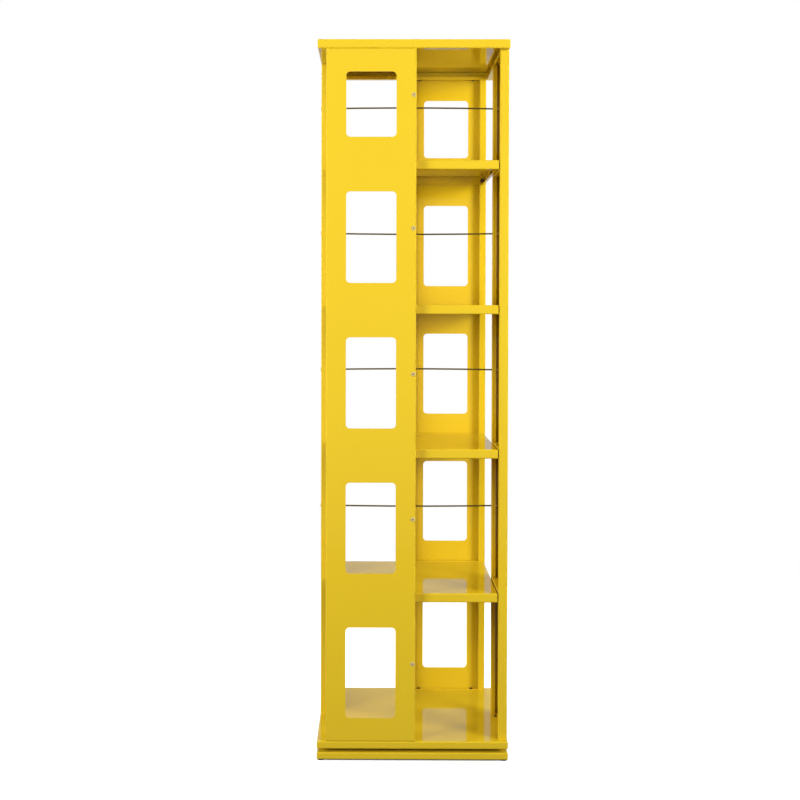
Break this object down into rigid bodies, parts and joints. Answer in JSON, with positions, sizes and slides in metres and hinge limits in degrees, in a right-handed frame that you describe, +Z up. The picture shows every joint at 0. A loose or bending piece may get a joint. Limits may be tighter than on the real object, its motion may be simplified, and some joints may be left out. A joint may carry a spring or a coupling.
{
  "type": "rotating bookshelf",
  "caption": "Tall square bookcase of folded yellow sheet steel: windowed panels set like a pinwheel, pan shelves and divider rods, turning on a ball ring above a square base.",
  "frame": {"origin": "centre of the square footprint on the floor, on the turning axis", "axes": "+Z up along the turning axis and the longest extent, front (the side with its panel on the left) towards -Y, +X to the right"},
  "size_m": [0.4612, 0.4612, 1.73],
  "materials": {
    "yellow_paint": "semi-gloss powder coat",
    "bright_steel": "zinc-plated",
    "nickel_nuts": "nickel-plated",
    "black_screws": "black oxide",
    "steel_rod": "drawn wire",
    "grey_plastic": "moulded",
    "black_plastic": "moulded"
  },
  "bodies": {
    "base": {"base_tray": "yellow_paint", "base_channels": "yellow_paint", "floor_glides": "black_plastic", "turntable_outer_ring": "bright_steel", "outer_ring_screws": "bright_steel"},
    "cage": {"ball_cage": "grey_plastic", "bearing_balls": "bright_steel"},
    "tower": {"front_panel": "yellow_paint", "right_panel": "yellow_paint", "rear_panel": "yellow_paint", "left_panel": "yellow_paint", "front_rails": "yellow_paint", "right_rails": "yellow_paint", "rear_rails": "yellow_paint", "left_rails": "yellow_paint", "shelf_1": "yellow_paint", "shelf_2": "yellow_paint", "shelf_3": "yellow_paint", "shelf_4": "yellow_paint", "top_cap": "yellow_paint", "bottom_tray": "yellow_paint", "tray_channels": "yellow_paint", "turntable_inner_ring": "bright_steel", "inner_ring_screws": "bright_steel", "weld_nuts": "bright_steel", "rod_nuts": "nickel_nuts", "shelf_bolts": "black_screws", "foot_screws": "black_screws", "head_screws": "black_screws", "divider_rods_x": "steel_rod", "divider_rods_y": "steel_rod", "shelf_washers": "grey_plastic"}
  },
  "joints": [
    {"name": "turntable_spin", "type": "hinge", "parent": "base", "child": "tower", "pos_m": [0, 0, 0.0233], "axis": [0, 0, 1], "continuous": true},
    {"name": "cage_spin", "type": "hinge", "parent": "base", "child": "cage", "pos_m": [0, 0, 0.0233], "axis": [0, 0, 1], "continuous": true}
  ],
  "couplings": [
    {"joint": "cage_spin", "follows": "turntable_spin", "ratio": 0.5}
  ]
}
